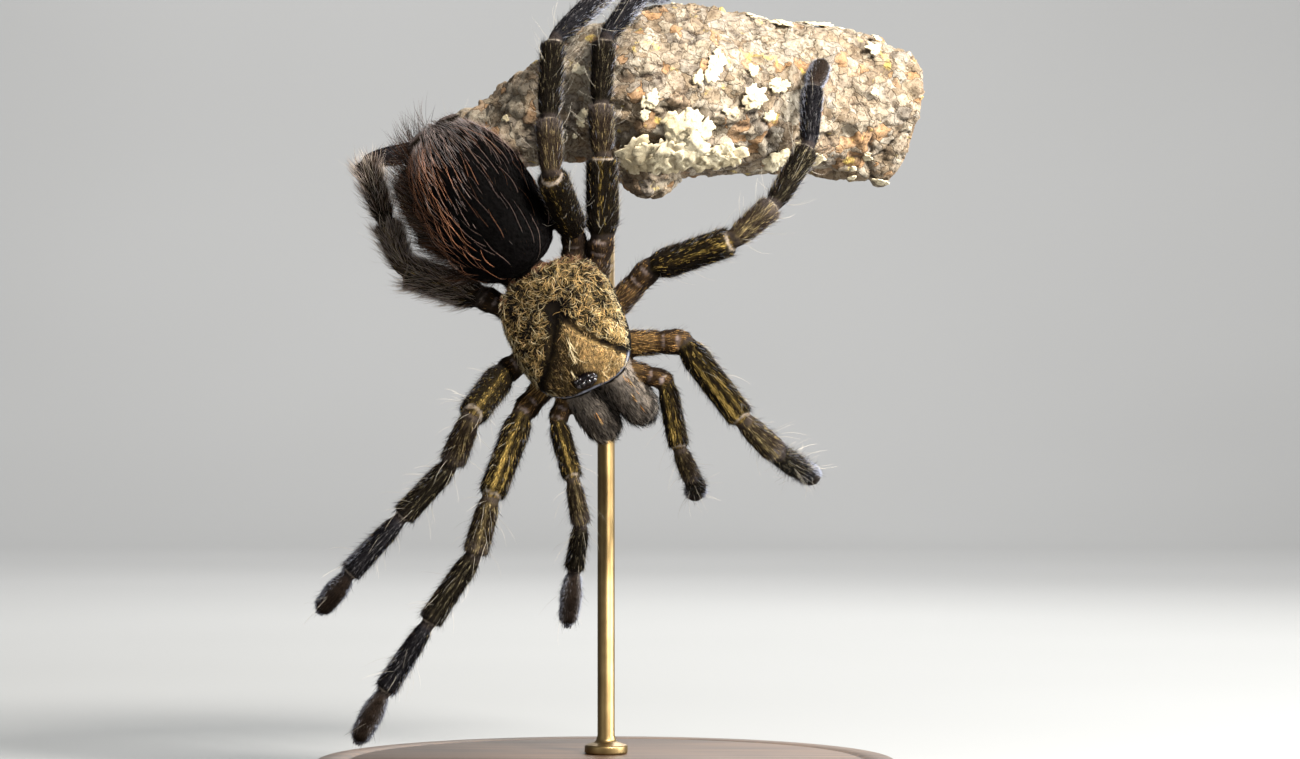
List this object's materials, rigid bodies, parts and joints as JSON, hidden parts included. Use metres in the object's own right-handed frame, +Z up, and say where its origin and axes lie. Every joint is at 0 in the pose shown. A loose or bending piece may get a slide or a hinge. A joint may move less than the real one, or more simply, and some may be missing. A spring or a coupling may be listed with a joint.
{
  "type": "tarantula",
  "caption": "Life-size tarantula, head down under a cut length of lichened branch that a rod and a round base hold up; a still model with no moving parts.",
  "frame": {"origin": "centre of the round base's underside", "axes": "+Z up; the spider's back faces -Y, and +X is to the right as seen from there"},
  "size_m": [0.0844, 0.08, 0.1119],
  "materials": {
    "carapace_coat": "curled golden-brown hair over dark skin",
    "abdomen_coat": "black velvet with long red-brown hairs",
    "limb_coat": "dark brown bristly hair with golden stripes",
    "foot_coat": "charcoal velvet pads",
    "chelicera_coat": "short grey-brown hair",
    "underside": "dark short hair",
    "horn": "glossy black",
    "bark": "rough bark with pale lichen",
    "base_wood": "dark satin lacquer",
    "brass": "satin"
  },
  "bodies": {
    "root": {"carapace": "carapace_coat", "eyes": "horn", "sternum": "underside", "chelicera_left": "chelicera_coat", "fang_left": "horn", "spinneret_left": "abdomen_coat", "palp_left_femur": "limb_coat", "palp_left_tibia": "limb_coat", "palp_left_tarsus": "foot_coat", "leg_left_1_femur": "limb_coat", "leg_left_1_tibia": "limb_coat", "leg_left_1_tarsus": "foot_coat", "leg_left_2_femur": "limb_coat", "leg_left_2_tibia": "limb_coat", "leg_left_2_tarsus": "foot_coat", "leg_left_3_femur": "limb_coat", "leg_left_3_tibia": "limb_coat", "leg_left_3_tarsus": "foot_coat", "leg_left_4_femur": "limb_coat", "leg_left_4_tibia": "limb_coat", "leg_left_4_tarsus": "foot_coat", "chelicera_right": "chelicera_coat", "fang_right": "horn", "spinneret_right": "abdomen_coat", "palp_right_femur": "limb_coat", "palp_right_tibia": "limb_coat", "palp_right_tarsus": "foot_coat", "leg_right_1_femur": "limb_coat", "leg_right_1_tibia": "limb_coat", "leg_right_1_tarsus": "foot_coat", "leg_right_2_femur": "limb_coat", "leg_right_2_tibia": "limb_coat", "leg_right_2_tarsus": "foot_coat", "leg_right_3_femur": "limb_coat", "leg_right_3_tibia": "limb_coat", "leg_right_3_tarsus": "foot_coat", "leg_right_4_femur": "limb_coat", "leg_right_4_tibia": "limb_coat", "leg_right_4_tarsus": "foot_coat", "abdomen": "abdomen_coat", "perch": "bark", "stand_base": "base_wood", "stand_rod": "brass"}
  },
  "joints": []
}
